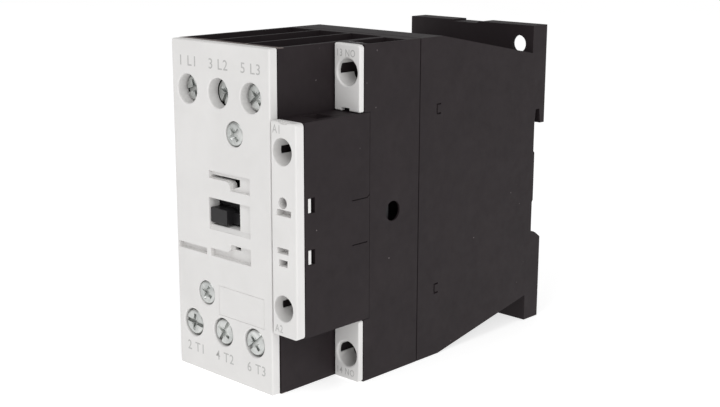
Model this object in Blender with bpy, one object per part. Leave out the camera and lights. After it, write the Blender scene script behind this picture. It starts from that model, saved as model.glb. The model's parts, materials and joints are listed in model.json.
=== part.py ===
"""Three-pole contactor for a 35 mm mounting rail, with one auxiliary contact.

Frame, in metres: +X to the right as seen from the front, the front faces -Y,
+Z is up. The origin is the centre of the raised pad that rests on the rail.
All numbers below are in millimetres; MM turns them into metres.
"""
import bpy
import bmesh
import math
from mathutils import Vector

MM = 0.001

# ---------------------------------------------------------------- dimensions
HALF_W = 22.5            # half of the 45 mm frame width
HALF_H = 42.8            # half of the height
REAR_Y = 4.0             # panel face of the feet
COVER_Y = -93.6          # front of the white cover
COVER_BACK = -91.2
BODY_Y = -90.9           # front of the black contact housing
BODY_X = 13.62           # right side of the three-pole body
SEAM_HOUSING = -50.45    # contact housing ends here
SEAM_BASE = -50.15       # base starts here
GAP = 0.3                # clearance kept between touching pieces

POLE_X = (-16.69, -5.05, 6.80)                       # pole centres
CHANNEL_X = ((-21.3, -11.4), (-10.4, 0.35), (1.35, 12.3))
POLE_Z = 30.57           # terminal screw height
MAIN_BORE_R = 3.70
MAIN_HEAD_R = 3.30
MAIN_SHAFT_R = 2.45      # M5
MAIN_TRAVEL = 5.3        # how far a terminal screw backs out
UPPER_HEAD_Y = (-91.2, -90.7, -91.6)
COVER_SCREWS = ((0.61, 21.15), (-11.24, -21.40))
COVER_SCREW_R = 3.0

COIL_X, COIL_Z = 17.70, 19.15     # coil terminal screws
COIL_BORE_R = 3.25
COIL_TRAVEL = 4.5
AUX_X, AUX_Z = 18.24, 35.93       # auxiliary terminal screws
AUX_BORE_R = 3.30
AUX_TRAVEL = 3.6
SIDE_Z = 26.23           # half height of the coil terminal block
STRIP_Y = -93.8          # front of the coil terminal cover
AUX_Y = -72.5            # front of the auxiliary covers
PARTING_Y = -68.8        # parting line on the right side

CARRIER_TRAVEL = 5.4     # magnet stroke
BRIDGE_OPEN = 4.05       # contact gap

FIX_HOLE = (17.5, 37.5, 2.4)      # half of 35 x 75 mm, and the hole radius


# ------------------------------------------------------------------- shapes
def box(x0, x1, y0, y1, z0, z1):
    v = [(x, y, z) for x in (x0, x1) for y in (y0, y1) for z in (z0, z1)]
    f = [(0, 1, 3, 2), (4, 6, 7, 5), (0, 4, 5, 1), (2, 3, 7, 6), (0, 2, 6, 4), (1, 5, 7, 3)]
    return v, f


def prism(axis, outline, lo, hi):
    """An outline in the two other axes, in X, Y, Z order, extruded along axis."""
    n = len(outline)
    order = {"X": lambda a, b, c: (c, a, b), "Y": lambda a, b, c: (a, c, b), "Z": lambda a, b, c: (a, b, c)}[axis]
    v = [order(a, b, lo) for a, b in outline] + [order(a, b, hi) for a, b in outline]
    f = [tuple(range(n))[::-1], tuple(range(n, 2 * n))]
    f += [(i, (i + 1) % n, n + (i + 1) % n, n + i) for i in range(n)]
    return v, f


def circle(ca, cb, r, n=24, start=0.0):
    return [(ca + r * math.cos(start + 2 * math.pi * i / n), cb + r * math.sin(start + 2 * math.pi * i / n)) for i in range(n)]


def cylinder(axis, ca, cb, r, lo, hi, n=24):
    return prism(axis, circle(ca, cb, r, n, math.pi / n), lo, hi)


def turned(cx, cz, profile, n=24):
    """A profile of (radius, y) turned about the Y axis through (cx, cz)."""
    v, f, rings = [], [], []
    for r, y in profile:
        if r == 0:
            rings.append([len(v)])
            v.append((cx, y, cz))
        else:
            rings.append(list(range(len(v), len(v) + n)))
            v += [(a, y, b) for a, b in circle(cx, cz, r, n, math.pi / n)]
    for a, b in zip(rings, rings[1:]):
        for i in range(n):
            j = (i + 1) % n
            if len(a) == 1:
                f.append((a[0], b[i], b[j]))
            elif len(b) == 1:
                f.append((a[i], b[0], a[j]))
            else:
                f.append((a[i], b[i], b[j], a[j]))
    return v, f


def helix(cx, cz, radius, wire, y0, y1, turns, per_turn=8, sides=4):
    """A closed compression spring along Y, with one flat closed turn at each end."""
    total = int(turns * per_turn)
    v, f = [], []
    for i in range(total + 1):
        t = i / per_turn
        if t < 1:
            y = y0 + wire + t * wire * 1.08
        elif t > turns - 1:
            y = y1 - wire - (turns - t) * wire * 1.08
        else:
            lo, hi = y0 + wire + wire * 1.08, y1 - wire - wire * 1.08
            y = lo + (hi - lo) * (t - 1) / (turns - 2)
        a = 2 * math.pi * t
        for k in range(sides):
            b = 2 * math.pi * k / sides
            rr = radius + 0.5 * wire * math.cos(b)
            v.append((cx + rr * math.cos(a), y + 0.5 * wire * math.sin(b), cz + rr * math.sin(a)))
    for i in range(total):
        for k in range(sides):
            m = (k + 1) % sides
            f.append((i * sides + k, i * sides + m, (i + 1) * sides + m, (i + 1) * sides + k))
    f.append(tuple(range(sides))[::-1])
    f.append(tuple(total * sides + k for k in range(sides)))
    return v, f


def mirrored_z(shape):
    v, f = shape
    return [(x, y, -z) for x, y, z in v], [tuple(reversed(face)) for face in f]


# ------------------------------------------------------------------ objects
for old in list(bpy.data.objects):
    bpy.data.objects.remove(old, do_unlink=True)
scene = bpy.context.scene
MATERIALS = {}


def material(name, colour, roughness, metallic=0.0):
    mat = bpy.data.materials.new(name)
    mat.use_nodes = True
    bsdf = mat.node_tree.nodes["Principled BSDF"]
    bsdf.inputs["Base Color"].default_value = (*colour, 1.0)
    bsdf.inputs["Roughness"].default_value = roughness
    bsdf.inputs["Metallic"].default_value = metallic
    MATERIALS[name] = mat


material("black_housing", (0.037, 0.033, 0.033), 0.55)
material("light_cover", (0.72, 0.72, 0.70), 0.45)
material("carrier_plastic", (0.020, 0.020, 0.022), 0.45)
material("zinc_steel", (0.62, 0.64, 0.60), 0.35, 1.0)
material("spring_steel", (0.50, 0.50, 0.50), 0.30, 1.0)
material("copper_contact", (0.80, 0.45, 0.28), 0.35, 1.0)
material("brass_lead", (0.78, 0.60, 0.30), 0.35, 1.0)
material("magnet_steel", (0.35, 0.35, 0.36), 0.45, 1.0)
material("winding_copper", (0.55, 0.22, 0.10), 0.35, 0.6)
material("bobbin_plastic", (0.75, 0.73, 0.66), 0.50)
material("rubber_buffer", (0.03, 0.03, 0.03), 0.85)


def mesh_object(name, shape, origin=(0, 0, 0)):
    verts, faces = shape
    mesh = bpy.data.meshes.new(name)
    at = Vector(origin)
    mesh.from_pydata([(Vector(p) - at) * MM for p in verts], [], faces)
    bm = bmesh.new()
    bm.from_mesh(mesh)
    bmesh.ops.recalc_face_normals(bm, faces=bm.faces)
    bm.to_mesh(mesh)
    bm.free()
    obj = bpy.data.objects.new(name, mesh)
    obj.location = at * MM
    scene.collection.objects.link(obj)
    return obj


def piece(name, mat, base, add=(), cut=(), origin=(0, 0, 0), smooth=False):
    """One solid piece: a base shape, others joined to it, then others cut from it."""
    obj = mesh_object(name, base, origin)
    obj.data.materials.append(MATERIALS[mat])
    if smooth:
        obj.data.shade_smooth()
        obj.data.set_sharp_from_angle(angle=math.radians(35))
    for kind, shapes in (("UNION", add), ("DIFFERENCE", cut)):
        for i, shape in enumerate(shapes):
            tool = mesh_object(f"{name}_{kind.lower()}_{i}", shape)
            tool.hide_render = True
            tool.display_type = "WIRE"
            mod = obj.modifiers.new(f"{kind.lower()}_{i}", "BOOLEAN")
            mod.operation = kind
            mod.solver = "EXACT"
            mod.object = tool
    return obj


# -------------------------------------------------------------- base housing
base_side = [
    (SEAM_BASE, HALF_H), (-41.45, HALF_H), (-2.4, 35.25), (-2.4, HALF_H), (REAR_Y, HALF_H),
    (REAR_Y, 15.1), (2.1, 15.1), (1.6, 19.2), (-0.1, 19.2), (-0.5, 15.3), (-0.5, 7.2),
    (0.0, 6.7), (0.0, -7.1), (-0.4, -7.7), (-0.4, -16.4), (1.7, -17.2), (REAR_Y, -18.7),
    (REAR_Y, -HALF_H), (-2.4, -HALF_H), (-2.4, -35.25), (-41.45, -HALF_H), (SEAM_BASE, -HALF_H),
]
cavity_side = [(-52, 41.2), (-41.3, 41.2), (-3.6, 33.6), (-3.6, -33.6), (-41.3, -41.2), (-52, -41.2)]
base_cuts = [prism("X", cavity_side, -21.2, 21.2)]
for sx in (-1, 1):
    for sz in (-1, 1):
        if sx == sz:                                            # two fixing holes, on one diagonal
            base_cuts.append(cylinder("Y", sx * FIX_HOLE[0], sz * FIX_HOLE[1], FIX_HOLE[2], -4, 6))
        # the corners are hollow from behind, which leaves a thin wall around each hole
        x0, x1 = sorted((sx * 10.4, sx * 19.9))
        w0, w1 = sorted((sz * 34.7, sz * 40.5))
        base_cuts.append(box(x0, x1, -1.1, 6, w0, w1))
        a, b = (21.9, 24) if sx > 0 else (-24, -21.9)
        z0, z1 = (22.75, 25.6) if sz > 0 else (-25.6, -22.75)
        base_cuts.append(box(a, b, -43.65, -41.75, z0, z1))
# shallow relief in the top edge of the rear flange
base_cuts.append(prism("Y", [(-6.6, 44), (-6.6, 42.3), (2.2, 42.3), (5.8, 44)], -3, 5))
# pocket of the rail latch spring, open to the rear and into the rail recess
base_cuts.append(box(-7, 7, 1.2, 5, -37.0, -15))
piece("base_housing", "black_housing", prism("X", base_side, -HALF_W, HALF_W), cut=base_cuts)

# ---------------------------------------------------------- contact housing
PARTITION_R = 2.5        # screw boss on a partition rib
add = [box(BODY_X - 0.6, HALF_W, -70.8, SEAM_HOUSING, -HALF_H, HALF_H)]
cut = [box(BODY_X + 0.02, 24, -72, -68.65, -SIDE_Z - 0.12, SIDE_Z + 0.12)]
for x0, x1 in CHANNEL_X:
    cut.append(box(x0, x1, -92, -72, -20.6, 20.6))            # contact chamber
    cut.append(box(x0, x1, -70, -53.5, -36.2, 36.2))          # arc chamber
    for s in (-1, 1):
        z0, z1 = sorted((s * 20.3, s * 37.6))
        cut.append(box(x0, x1, -92, -81.7, z0, z1))           # above the terminal support
        z0, z1 = sorted((s * 37.3, s * 45))
        cut.append(box(x0, x1, -89.4, -53.5, z0, z1))         # open wire channel
cut.append(box(-19.9, 11.2, -92, -53.2, -7.4, 7.4))           # carrier passage
cut.append(box(-11.2, 11.2, -54, -50, -7.4, 7.4))             # carrier stem through the rear wall
for px in POLE_X:
    for s in (-1, 1):
        cut.append(cylinder("Y", px, s * POLE_Z, 2.8, -82, -73.2, 16))
cut.append(box(14.6, 21.9, -67.5, -54.9, -17.2, 17.2))        # auxiliary contact chamber
cut.append(box(14.6, 21.9, -68, -54.0, -6, 6))
cut.append(box(11.9, 15, -67.4, -54.0, -3.3, 3.3))            # arm passes the partition
cut.append(cylinder("X", -60.2, 0.1, 2.6, 21, 24, 20))        # access hole in the side
for s in (-1, 1):
    z0, z1 = sorted((s * 16.8, s * 41.4))
    cut.append(box(14.6, 21.9, -69.9, -59.9, z0, z1))         # auxiliary terminal chamber
    z0, z1 = sorted((s * 27.6, s * 41.4))
    cut.append(box(14.6, 21.9, -72, -69.5, z0, z1))
    z0, z1 = sorted((s * 40.3, s * 45))
    cut.append(box(14.6, 21.9, -68.6, -55.0, z0, z1))         # open at the end for the wire
    cut.append(cylinder("Y", AUX_X, s * AUX_Z, 2.1, -60.5, -53.4, 16))
    z0, z1 = sorted((s * 11.7, s * 15.6))
    cut.append(box(20.0, 21.2, -70, -50, z0, z1))             # coil lead passage
bosses = [cylinder("Y", x, z, PARTITION_R, BODY_Y, -53, 16) for x, z in COVER_SCREWS]
boss_holes = [cylinder("Y", x, z, 1.75, -92, -62, 12) for x, z in COVER_SCREWS]
piece("contact_housing", "black_housing", box(-HALF_W, BODY_X, BODY_Y, SEAM_HOUSING, -HALF_H, HALF_H), add=add, cut=cut)
housing = bpy.data.objects["contact_housing"]
for kind, shapes in (("UNION", bosses), ("DIFFERENCE", boss_holes)):
    for i, shape in enumerate(shapes):
        tool = mesh_object(f"contact_housing_boss_{kind.lower()}_{i}", shape)
        tool.hide_render = True
        tool.display_type = "WIRE"
        mod = housing.modifiers.new(f"boss_{kind.lower()}_{i}", "BOOLEAN")
        mod.operation = kind
        mod.solver = "EXACT"
        mod.object = tool

# ------------------------------------------------------ coil terminal block
cut = [box(12, 21.5, -92, -78.0, -24.8, 24.8), box(12, 21.5, -79, -70.2, -9.6, 9.6)]
for s in (-1, 1):
    cut.append(cylinder("Y", COIL_X, s * COIL_Z, 2.1, -79, -72, 16))
    z0, z1 = sorted((s * 4.45, s * 8.16))
    cut.append(box(21, 24, -89.95, -87.7, z0, z1))            # clip window
    z0, z1 = sorted((s * 24, s * 28))
    cut.append(box(15.0, 20.4, -84.7, -79.5, z0, z1))         # wire entry
    z0, z1 = sorted((s * 11.7, s * 16.9))
    cut.append(box(20.0, 21.2, -80, -68, z0, z1))             # coil lead passage
piece("coil_terminal_block", "black_housing", box(BODY_X + 0.3, HALF_W, -90.95, PARTING_Y - 0.15, -SIDE_Z, SIDE_Z), cut=cut)

# -------------------------------------------------------------- front cover
def rounded(points, radii, steps=4):
    """A polygon whose corners are rounded by the given radii."""
    out, n = [], len(points)
    for i in range(n):
        p, a, b = Vector(points[i]), Vector(points[i - 1]), Vector(points[(i + 1) % n])
        r = radii[i]
        if r == 0:
            out.append(tuple(p))
            continue
        u, w = (a - p).normalized(), (b - p).normalized()
        half = u.angle(w) / 2
        centre = p + (u + w).normalized() * r / math.sin(half)
        s, e = p + u * r / math.tan(half) - centre, p + w * r / math.tan(half) - centre
        turn = s.angle_signed(e)
        for k in range(steps + 1):
            ang = -turn * k / steps
            out.append(tuple(centre + Vector((s.x * math.cos(ang) - s.y * math.sin(ang), s.x * math.sin(ang) + s.y * math.cos(ang)))))
    return out


cover_outline = rounded(
    [(-HALF_W, -HALF_H), (BODY_X - 0.3, -HALF_H), (BODY_X, HALF_H), (-HALF_W, HALF_H)], [0.6, 0.4, 0.5, 0.6])
# two L-shaped slots for the hooks of a clip-on accessory, and the indicator window
upper_slot = [(-9.1, 10.95), (-9.1, 9.0), (-2.6, 9.0), (-1.5, 8.4), (-1.2, 7.4), (-1.2, 6.8), (6.1, 6.8), (6.1, 10.95)]
upper_hole = [(-9.0, 9.85), (-9.0, 9.1), (-2.6, 9.1), (-1.4, 8.5), (-1.1, 7.2), (1.5, 8.1), (1.5, 9.85)]
lower_slot = [(-9.1, -11.0), (6.1, -11.0), (6.1, -6.8), (-1.25, -6.8), (-1.7, -8.3), (-2.8, -9.0), (-9.1, -9.0)]
cut = [box(-9.3, 1.4, -95, -91, -4.06, 4.06), box(1.2, 6.05, -95, -92.7, -4.06, 4.06)]
cut += [prism("Y", upper_slot, -95, -92.65), prism("Y", upper_hole, -95, -91)]
cut += [prism("Y", lower_slot, -95, -92.25), box(-1.15, 0.96, -95, -91, -8.25, -7.45)]
cut.append(box(-21.7, -10.6, -95, -92.4, -11.05, -9.4))       # shallow groove
for px in POLE_X:
    for s in (-1, 1):
        cut.append(cylinder("Y", px, s * POLE_Z, MAIN_BORE_R, -95, -90, 20))
for x, z in COVER_SCREWS:
    cut.append(turned(x, z, [(0, -95), (COVER_SCREW_R + 0.15, -95), (COVER_SCREW_R + 0.15, -91.75), (1.95, -91.75), (1.95, -90), (0, -90)], 16))
piece("front_cover", "light_cover", prism("Y", cover_outline, COVER_Y, COVER_BACK), cut=cut)

for name, (x, z) in zip(("cover_screw_upper", "cover_screw_lower"), COVER_SCREWS):
    piece(name, "zinc_steel",
          turned(x, z, [(0, -93.45), (2.6, -93.45), (COVER_SCREW_R, -93.15), (COVER_SCREW_R, -92.0), (1.6, -92.0), (1.6, -63.5), (0.9, -62.4), (0, -62.4)], 16),
          cut=[box(x - 0.45, x + 0.45, -94, -92.6, z - 1.9, z + 1.9), box(x - 1.9, x + 1.9, -94, -92.6, z - 0.45, z + 0.45)],
          origin=(x, -93.45, z), smooth=True)

# ------------------------------------------------------ coil terminal cover
strip_outline = rounded([(13.95, -SIDE_Z), (HALF_W, -SIDE_Z), (HALF_W, SIDE_Z), (13.95, SIDE_Z)], [0, 1.0, 1.0, 0], 2)
add, cut = [], []
for s in (-1, 1):
    add.append(cylinder("Y", COIL_X, s * COIL_Z, 3.6, -91.6, -86.5, 20))
    z0, z1 = sorted((s * 4.6, s * 8.0))
    add.append(box(20.3, 21.1, -91.6, -88.95, z0, z1))        # clip arm and nose
    add.append(box(20.9, 22.3, -89.8, -88.95, z0, z1))
    cut.append(cylinder("Y", COIL_X, s * COIL_Z, COIL_BORE_R, -95, -86, 20))
cut.append(cylinder("Y", 17.9, 6.95, 1.35, -95, -90, 12))
cut += [box(15.8, 20.7, -95, -92.6, 3.8, 5.35), box(15.85, 19.75, -95, -92.6, -5.5, -4.05), box(16.4, 19.35, -95, -92.6, -8.6, -6.95)]
piece("coil_terminal_cover", "light_cover", prism("Y", strip_outline, STRIP_Y, -91.25), add=add, cut=cut)

# --------------------------------------------------------- auxiliary covers
for name, s in (("aux_terminal_cover_upper", 1), ("aux_terminal_cover_lower", -1)):
    z0, z1 = sorted((s * 26.4, s * HALF_H))
    plate = box(BODY_X + 0.33, HALF_W, AUX_Y, -71.1, z0, z1)
    piece(name, "light_cover", plate,
          add=[cylinder("Y", AUX_X, s * AUX_Z, 3.58, -71.5, -67.2, 20)],
          cut=[cylinder("Y", AUX_X, s * AUX_Z, AUX_BORE_R - 0.02, -74, -66, 20)])


# ------------------------------------------------------- terminals, moving
def terminal(label, x, z, head_r, head_h, shaft_r, shaft_l, head_y, plate, plate_t, cross):
    """A captive screw with its clamping plate. head_y is the front of the head."""
    top = head_y
    under = head_y + head_h
    cut = [box(x - 0.22 * head_r, x + 0.22 * head_r, top - 1, top + cross, z - 0.72 * head_r, z + 0.72 * head_r),
           box(x - 0.72 * head_r, x + 0.72 * head_r, top - 1, top + cross, z - 0.22 * head_r, z + 0.22 * head_r)]
    piece(f"screw_{label}", "zinc_steel",
          turned(x, z, [(0, top), (head_r - 0.35, top), (head_r, top + 0.35), (head_r, under), (shaft_r, under),
                        (shaft_r, under + shaft_l - 0.6), (shaft_r - 0.6, under + shaft_l), (0, under + shaft_l)], 16),
          cut=cut, origin=(x, top, z), smooth=True)
    hx, hz = plate
    y0 = under + GAP
    piece(f"clamp_{label}", "zinc_steel", box(x - hx, x + hx, y0, y0 + plate_t, z - hz, z + hz),
          cut=[cylinder("Y", x, z, shaft_r + 0.1, y0 - 1, y0 + plate_t + 1, 16)], origin=(x, y0, z))


MAIN_LABELS = ("l1", "l2", "l3"), ("t1", "t2", "t3")
for i, px in enumerate(POLE_X):
    # the upper screws stand part way out, each at its own depth, and the lower ones fully out
    terminal(MAIN_LABELS[0][i], px, POLE_Z, MAIN_HEAD_R, 2.8, MAIN_SHAFT_R, 10.8, UPPER_HEAD_Y[i], (4.2, 4.4), 1.4, 1.3)
    terminal(MAIN_LABELS[1][i], px, -POLE_Z, MAIN_HEAD_R, 2.8, MAIN_SHAFT_R, 10.8, -88.0 - MAIN_TRAVEL, (4.2, 4.4), 1.4, 1.3)
for label, s in (("aux_13", 1), ("aux_14", -1)):
    terminal(label, AUX_X, s * AUX_Z, 2.75, 2.0, 1.7, 6.6, -65.0, (3.0, 3.1), 1.2, 1.0)
for label, s in (("coil_a1", 1), ("coil_a2", -1)):
    terminal(label, COIL_X, s * COIL_Z, 2.75, 2.0, 1.7, 7.0, -83.1, (3.0, 3.1), 1.2, 1.0)

# ------------------------------------------------------------ fixed contacts
for i, px in enumerate(POLE_X):
    for s, label in ((1, MAIN_LABELS[0][i]), (-1, MAIN_LABELS[1][i])):
        side = [(-73.5, 8.6), (-72.3, 8.6), (-72.3, 20.2), (-82.0, 20.2), (-82.0, 34.5), (-83.2, 34.5), (-83.2, 19.0), (-73.5, 19.0)]
        strip = prism("X", side, px - 2.6, px + 2.6)
        wide = box(px - 4.0, px + 4.0, -83.2, -82.0, 24.4, 35.1)
        end = box(px - 4.0, px + 4.0, -83.0, -82.0, 34.9, 36.4)     # outer end, a small step lower
        tip = box(px - 2.3, px + 2.3, -74.7, -73.3, 8.7, 12.3)
        hole = cylinder("Y", px, POLE_Z, MAIN_SHAFT_R + 0.1, -85, -80, 16)
        parts = [strip, wide, end, tip, hole]
        if s < 0:
            parts = [mirrored_z(p) for p in parts]
        piece(f"fixed_contact_{label}", "copper_contact", parts[0], add=parts[1:4], cut=parts[4:])
for s, label in ((1, "aux_13"), (-1, "aux_14")):
    side = [(-56.2, 7.0), (-55.2, 7.0), (-55.2, 16.5), (-60.2, 16.5), (-60.2, 38.9), (-61.2, 38.9), (-61.2, 15.5), (-56.2, 15.5)]
    strip = prism("X", side, 16.3, 19.6)
    tip = box(16.6, 19.3, -57.0, -56.0, 7.1, 9.3)
    wide = box(15.4, 21.1, -61.2, -60.2, 31.4, 39.15)
    end = box(15.4, 21.1, -61.0, -60.2, 38.95, 40.8)              # outer end, a small step lower
    hole = cylinder("Y", AUX_X, AUX_Z, 1.8, -63, -58, 14)
    parts = [strip, tip, wide, end, hole]
    if s < 0:
        parts = [mirrored_z(p) for p in parts]
    piece(f"fixed_contact_{label}", "copper_contact", parts[0], add=parts[1:4], cut=parts[4:])

# ----------------------------------------------------------- contact bridges
def bridge(name, cx, half_x, reach, y_strip0, y_strip1, tip_len, tip_t, origin_y):
    body = box(cx - half_x, cx + half_x, y_strip0, y_strip1, -reach, reach)
    tips = [box(cx - half_x + 0.4, cx + half_x - 0.4, y_strip1 - 0.2, y_strip1 + tip_t, *sorted((s * (reach - 0.2), s * (reach - tip_len)))) for s in (-1, 1)]
    piece(name, "copper_contact", body, add=tips, origin=(cx, origin_y, 0))


for i, px in enumerate(POLE_X):
    bridge(f"contact_bridge_{i + 1}", px, 3.0, 12.4, -80.95, -79.75, 3.6, 1.0, -80.95)
bridge("contact_bridge_aux", 17.95, 1.7, 9.4, -62.65, -61.85, 2.3, 0.8, -62.65)
for i, px in enumerate(POLE_X):
    piece(f"contact_spring_{i + 1}", "spring_steel", helix(px, 0, 2.2, 0.6, -88.15, -81.1, 5), origin=(px, -81.1, 0), smooth=True)
piece("contact_spring_aux", "spring_steel", helix(17.95, 0, 1.3, 0.35, -66.05, -62.8, 4), origin=(17.95, -62.8, 0), smooth=True)

# ----------------------------------------------------------- contact carrier
add = [
    box(-10.6, 10.6, -76.5, -50.3, -7.0, 7.0),                  # stem to the armature
    box(10.0, 20.8, -67.1, -60.0, -2.9, 2.9),                   # auxiliary arm
    box(-9.0, -2.9, -93.3, -89.0, -2.3, 1.5),                   # position indicator
    box(-3.1, 1.0, -91.0, -89.0, -2.3, 0.7),
]
cut = [box(px - 3.4, px + 3.4, -88.3, -79.45, -8, 8) for px in POLE_X]
cut.append(box(15.9, 20.0, -66.2, -61.55, -4, 4))
cut.append(box(-8.2, 8.2, -73.6, -53.4, -8, 8))                 # stem is a frame of two side plates
for s in (-1, 1):
    x0, x1 = sorted((s * 8.4, s * 10.6))
    add.append(box(x0, x1, -50.6, -44.9, -4.6, 4.6))            # ear around the armature
    x0, x1 = sorted((s * 10.3, s * 17.0))
    add.append(box(x0, x1, -50.15, -48.4, -4.6, 4.6))           # return spring seat
cut.append(cylinder("X", -47.2, 0, 1.6, -12, 12, 16))
piece("contact_carrier", "carrier_plastic", box(-19.5, 10.8, -89.8, -75.5, -7.0, 7.0), add=add, cut=cut, origin=(0, -50.3, 0))

# --------------------------------------------------------------- magnet set
armature = [(-50.0, -20), (-50.0, 20), (-31.5, 20), (-31.5, 14), (-43.6, 14), (-43.6, 6), (-31.55, 6), (-31.55, -6), (-43.6, -6), (-43.6, -14), (-31.5, -14), (-31.5, -20)]
piece("moving_armature", "magnet_steel", prism("X", armature, -8, 8), cut=[cylinder("X", -47.2, 0, 1.6, -9, 9, 16)], origin=(0, -50.0, 0))
piece("armature_pin", "zinc_steel", cylinder("X", -47.2, 0, 1.5, -10.5, 10.5, 16), origin=(0, -47.2, 0), smooth=True)
core = [(-5.4, 20), (-5.4, -20), (-26.0, -20), (-26.0, -14), (-12.4, -14), (-12.4, -6), (-26.0, -6), (-26.0, 6), (-12.4, 6), (-12.4, 14), (-26.0, 14), (-26.0, 20)]
piece("fixed_core", "magnet_steel", prism("X", core, -8, 8),
      cut=[box(-9, 9, -27, -23.8, *sorted((s * 16.6, s * 17.9))) for s in (-1, 1)])
for name, s in (("shading_ring_upper", 1), ("shading_ring_lower", -1)):
    piece(name, "copper_contact", box(-9.2, 9.2, -25.4, -24.1, *sorted((s * 16.85, s * 21.2))),
          cut=[box(-8.3, 8.3, -27, -22, *sorted((s * 17.6, s * 20.35)))])
piece("core_buffer", "rubber_buffer", box(-8, 8, -5.1, -3.9, -18, 18))
flanges = [box(-17.5, 17.5, -37.9, -36.9, -13.6, 13.6), box(-17.5, 17.5, -13.7, -12.7, -13.6, 13.6)]
piece("coil_bobbin", "bobbin_plastic", box(-9.3, 9.3, -37.5, -13.1, -7.3, 7.3), add=flanges, cut=[box(-8.4, 8.4, -39, -12, -6.4, 6.4)])
turns_outline = rounded([(-15.6, -12.8), (15.6, -12.8), (15.6, 12.8), (-15.6, 12.8)], [4, 4, 4, 4])
piece("coil_winding", "winding_copper", prism("Y", turns_outline, -36.6, -14.0), cut=[box(-9.6, 9.6, -40, -10, -7.6, 7.6)])
for name, s in (("return_spring_right", 1), ("return_spring_left", -1)):
    piece(name, "spring_steel", helix(s * 13.6, 0, 2.6, 0.6, -48.25, -38.05, 6), origin=(s * 13.6, -38.05, 0), smooth=True)

# --------------------------------------------------------------- coil leads
for name, s in (("coil_lead_a1", 1), ("coil_lead_a2", -1)):
    shapes = [box(20.3, 20.9, -79.3, -38.2, 12.0, 15.3), box(14.9, 20.9, -79.3, -78.3, 15.6, 22.4), box(20.3, 20.9, -79.3, -77.2, 12.0, 16.6),
              box(14.9, 20.9, -79.1, -78.3, 22.2, 24.3), box(14.2, 20.9, -39.1, -38.2, 12.0, 15.3), cylinder("Y", COIL_X, COIL_Z, 1.8, -81, -77, 14)]
    if s < 0:
        shapes = [mirrored_z(p) for p in shapes]
    piece(name, "brass_lead", shapes[0], add=shapes[1:5], cut=shapes[5:])

# -------------------------------------------------------------- rail latch
latch = [(1.6, -34.0), (2.5, -34.0), (2.5, -17.6), (3.3, -16.6), (2.2, -14.8), (1.6, -14.8)]
piece("rail_latch_spring", "spring_steel", prism("X", latch, -6.0, 6.0), origin=(0, 2.0, -17.0))
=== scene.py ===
"""Looks of the three-pole contactor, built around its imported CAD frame."""
import json
import math

import bmesh
import bpy
from mathutils import Matrix, Vector

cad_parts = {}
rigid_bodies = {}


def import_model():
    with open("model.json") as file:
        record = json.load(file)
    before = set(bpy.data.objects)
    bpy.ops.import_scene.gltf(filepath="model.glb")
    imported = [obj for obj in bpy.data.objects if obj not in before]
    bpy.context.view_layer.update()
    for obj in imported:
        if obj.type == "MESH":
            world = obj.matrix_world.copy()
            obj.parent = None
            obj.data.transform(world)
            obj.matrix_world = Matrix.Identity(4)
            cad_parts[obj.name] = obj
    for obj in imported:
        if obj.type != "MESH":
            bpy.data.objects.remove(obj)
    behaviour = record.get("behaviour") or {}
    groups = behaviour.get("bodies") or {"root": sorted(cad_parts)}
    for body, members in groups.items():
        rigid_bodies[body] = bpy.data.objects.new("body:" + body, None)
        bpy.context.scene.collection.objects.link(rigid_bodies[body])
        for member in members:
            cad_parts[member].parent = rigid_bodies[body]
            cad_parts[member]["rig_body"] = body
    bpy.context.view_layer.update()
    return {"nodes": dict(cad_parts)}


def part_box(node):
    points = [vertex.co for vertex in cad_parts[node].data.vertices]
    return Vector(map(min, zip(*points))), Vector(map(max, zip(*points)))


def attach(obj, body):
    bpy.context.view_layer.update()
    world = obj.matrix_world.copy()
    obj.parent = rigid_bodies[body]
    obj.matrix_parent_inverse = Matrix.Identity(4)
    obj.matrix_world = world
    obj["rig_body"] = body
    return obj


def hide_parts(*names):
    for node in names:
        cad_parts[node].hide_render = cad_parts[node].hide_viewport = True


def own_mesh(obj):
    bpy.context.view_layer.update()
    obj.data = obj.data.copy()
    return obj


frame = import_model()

MM = 0.001
SCENE = bpy.context.scene

# ---------------------------------------------------------------- dimensions
HALF_W, HALF_H, REAR_Y = 22.5, 42.8, 4.0
COVER_Y, COVER_BACK, BODY_Y, BODY_X = -93.6, -91.2, -90.9, 13.62
SEAM_HOUSING, SEAM_BASE = -50.45, -50.15
POLE_X = (-16.69, -5.05, 6.80)
CHANNEL_X = ((-21.3, -11.4), (-10.4, 0.35), (1.35, 12.3))
POLE_Z, MAIN_BORE_R = 30.57, 3.70
COVER_SCREWS = ((0.61, 21.15), (-11.24, -21.40))
COIL_X, COIL_Z, COIL_BORE_R = 17.70, 19.15, 3.25
AUX_X, AUX_Z, AUX_BORE_R = 18.24, 35.93, 3.28
SIDE_Z, STRIP_Y, AUX_Y = 26.23, -93.78, -72.5


# ------------------------------------------------------------------- shapes
def box(x0, x1, y0, y1, z0, z1):
    v = [(x, y, z) for x in (x0, x1) for y in (y0, y1) for z in (z0, z1)]
    f = [(0, 1, 3, 2), (4, 6, 7, 5), (0, 4, 5, 1), (2, 3, 7, 6), (0, 2, 6, 4), (1, 5, 7, 3)]
    return v, f


def zbox(s, x0, x1, y0, y1, z0, z1):
    """A box whose z range is multiplied by s, which is 1 or -1."""
    a, b = sorted((s * z0, s * z1))
    return box(x0, x1, y0, y1, a, b)


def prism(axis, outline, lo, hi):
    n = len(outline)
    order = {"X": lambda a, b, c: (c, a, b), "Y": lambda a, b, c: (a, c, b), "Z": lambda a, b, c: (a, b, c)}[axis]
    v = [order(a, b, lo) for a, b in outline] + [order(a, b, hi) for a, b in outline]
    f = [tuple(range(n))[::-1], tuple(range(n, 2 * n))]
    f += [(i, (i + 1) % n, n + (i + 1) % n, n + i) for i in range(n)]
    return v, f


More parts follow.
